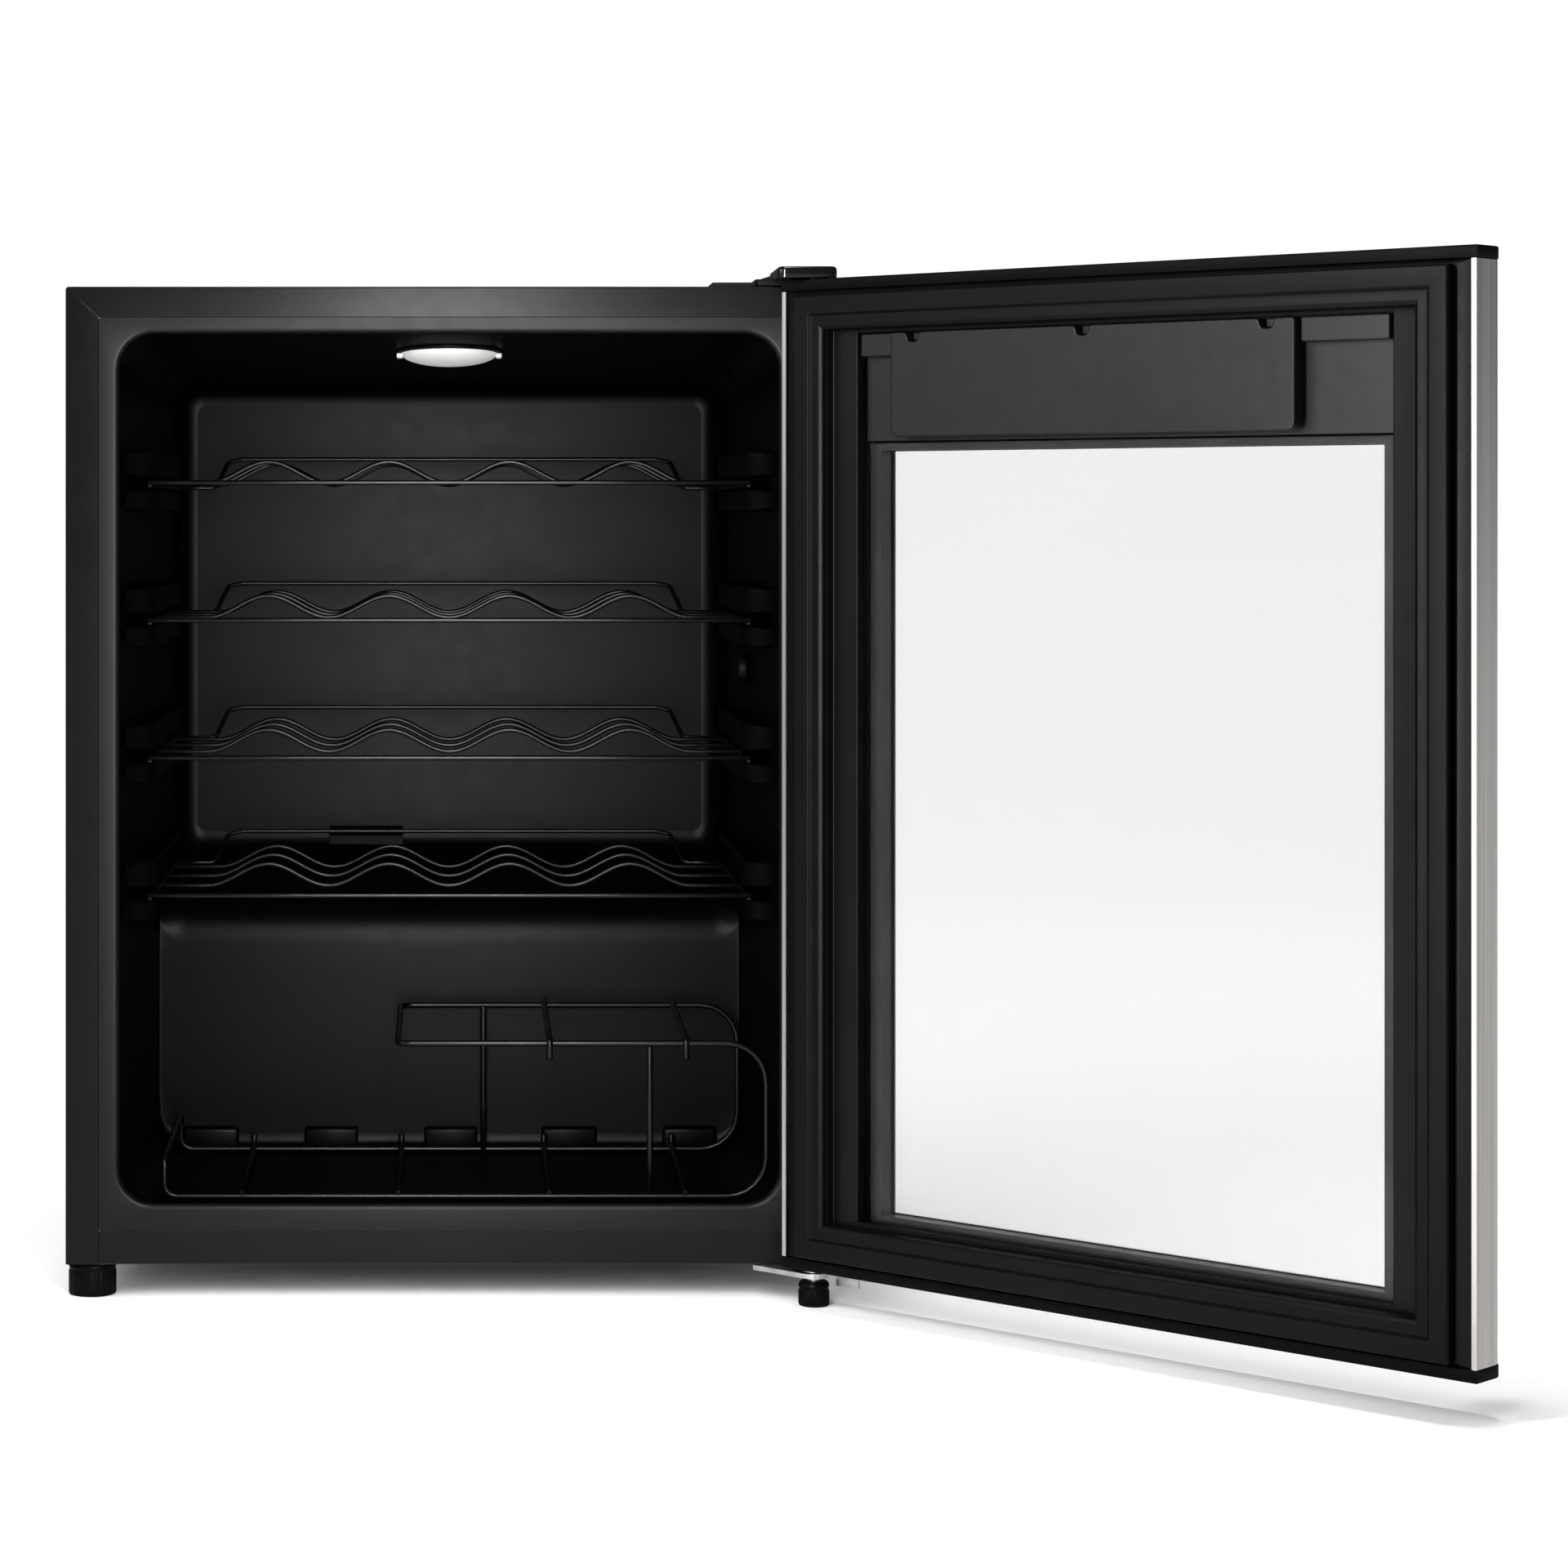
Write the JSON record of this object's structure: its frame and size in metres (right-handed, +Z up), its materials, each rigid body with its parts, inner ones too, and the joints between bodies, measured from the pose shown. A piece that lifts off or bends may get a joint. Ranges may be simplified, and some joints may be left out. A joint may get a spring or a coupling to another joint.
{
  "type": "mini fridge",
  "caption": "Mini fridge with a steel-framed glass door standing open, wavy wire bottle shelves, a wire rack on the floor and a cooling coil behind.",
  "frame": {"origin": "on the floor, under the centre of the front left levelling foot", "axes": "+Z up; -X out of the cabinet's left side as seen from the front; -Y out of the cabinet's front, towards the user"},
  "size_m": [0.8203, 0.7706, 0.643],
  "materials": {
    "black_enamel": "satin",
    "black_liner": "satin",
    "black_plastic": "satin",
    "black_rubber": "matte",
    "black_wire": "satin",
    "galvanised": "satin",
    "brushed_steel": "satin",
    "zinc": "satin",
    "copper": "satin",
    "aluminium": "satin",
    "glass": "polished",
    "smoked": "gloss",
    "opal": "satin",
    "foam": "matte",
    "circuit": "satin"
  },
  "bodies": {
    "cabinet": {"outer_wrap": "black_enamel", "front_sill": "black_enamel", "base_pan": "galvanised", "compressor_tray": "galvanised", "bay_panel": "galvanised", "rear_panel": "black_enamel", "foam_insulation": "foam", "inner_liner": "black_liner", "evaporator": "aluminium", "drain_cover": "black_plastic", "drain_tube": "black_plastic", "lamp_base": "black_plastic", "lamp_lens": "opal", "sensor_cover": "black_plastic", "compressor": "black_enamel", "compressor_grommet_1": "black_rubber", "compressor_grommet_2": "black_rubber", "compressor_grommet_3": "black_rubber", "compressor_grommet_4": "black_rubber", "relay_cover": "black_plastic", "drip_tray": "black_plastic", "discharge_tube": "copper", "suction_tube": "copper", "filter_drier": "copper", "condenser_coil": "black_wire", "condenser_strap_left": "black_enamel", "condenser_strap_right": "black_enamel", "cord_gland": "black_rubber", "top_hinge_bracket": "zinc", "hinge_cover": "black_plastic", "bottom_hinge_bracket": "zinc", "bottom_hinge_pin": "zinc", "rear_foot_left": "black_plastic", "rear_foot_right": "black_plastic"},
    "door": {"door_stile_hinge": "brushed_steel", "door_stile_free": "brushed_steel", "door_rail_top": "brushed_steel", "door_rail_bottom": "brushed_steel", "door_cap_top": "black_plastic", "door_cap_bottom": "black_plastic", "outer_glass": "glass", "glass_spacer": "aluminium", "inner_glass": "glass", "inner_frame": "black_plastic", "door_gasket": "black_rubber", "control_housing": "black_plastic", "control_cover": "black_plastic", "control_board": "circuit", "display_window": "smoked", "handle": "brushed_steel", "upper_bush": "opal", "lower_bush": "opal", "door_stop": "zinc"},
    "shelf_1": {"shelf_1": "black_wire"},
    "shelf_2": {"shelf_2": "black_wire"},
    "shelf_3": {"shelf_3": "black_wire"},
    "shelf_4": {"shelf_4": "black_wire"},
    "rack": {"bottle_rack": "black_wire"},
    "foot_left": {"front_foot_left": "black_plastic"},
    "foot_right": {"front_foot_right": "black_plastic"}
  },
  "joints": [
    {"name": "door_hinge", "type": "hinge", "parent": "cabinet", "child": "door", "pos_m": [0.4505, -0.0385, 0.3], "axis": [0, 0, 1], "range_deg": [-136, 0]},
    {"name": "shelf_1_slide", "type": "slide", "parent": "cabinet", "child": "shelf_1", "axis": [0, -1, 0], "range_m": [0, 0.24]},
    {"name": "shelf_2_slide", "type": "slide", "parent": "cabinet", "child": "shelf_2", "axis": [0, -1, 0], "range_m": [0, 0.24]},
    {"name": "shelf_3_slide", "type": "slide", "parent": "cabinet", "child": "shelf_3", "axis": [0, -1, 0], "range_m": [0, 0.24]},
    {"name": "shelf_4_slide", "type": "slide", "parent": "cabinet", "child": "shelf_4", "axis": [0, -1, 0], "range_m": [0, 0.24]},
    {"name": "rack_lift", "type": "slide", "parent": "cabinet", "child": "rack", "axis": [0, 0, 1], "range_m": [0, 0.05]},
    {"name": "front_left_foot_turn", "type": "hinge", "parent": "cabinet", "child": "foot_left", "pos_m": [0, 0, 0], "axis": [0, 0, 1], "continuous": true},
    {"name": "front_right_foot_turn", "type": "hinge", "parent": "cabinet", "child": "foot_right", "pos_m": [0.4505, -0.0385, 0], "axis": [0, 0, 1], "continuous": true}
  ]
}
